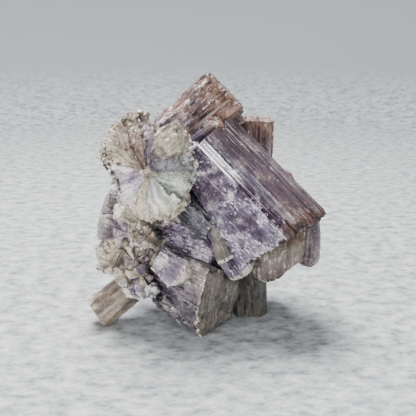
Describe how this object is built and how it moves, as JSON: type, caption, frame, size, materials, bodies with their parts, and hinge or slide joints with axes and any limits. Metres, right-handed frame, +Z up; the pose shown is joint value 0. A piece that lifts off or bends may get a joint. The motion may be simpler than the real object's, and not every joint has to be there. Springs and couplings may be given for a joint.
{
  "type": "aragonite crystal cluster",
  "caption": "Cluster of intergrown aragonite: stubby violet prisms with flat ends and striated sides radiating from a core, with a trilled rosette and drusy crust.",
  "frame": {"origin": "on the resting plane, below the middle of the cluster's bounding box", "axes": "+Z up as it stands, +Y away from the side with the rosette and the large prism's broad face, +X towards the large prism's low end"},
  "size_m": [0.0585, 0.0393, 0.0608],
  "materials": {
    "aragonite": "glassy to matt crystal faces, violet in the middle and red-brown to cream at the ends, striated along the prisms"
  },
  "bodies": {
    "root": {"aragonite_cluster": "aragonite"}
  },
  "joints": []
}
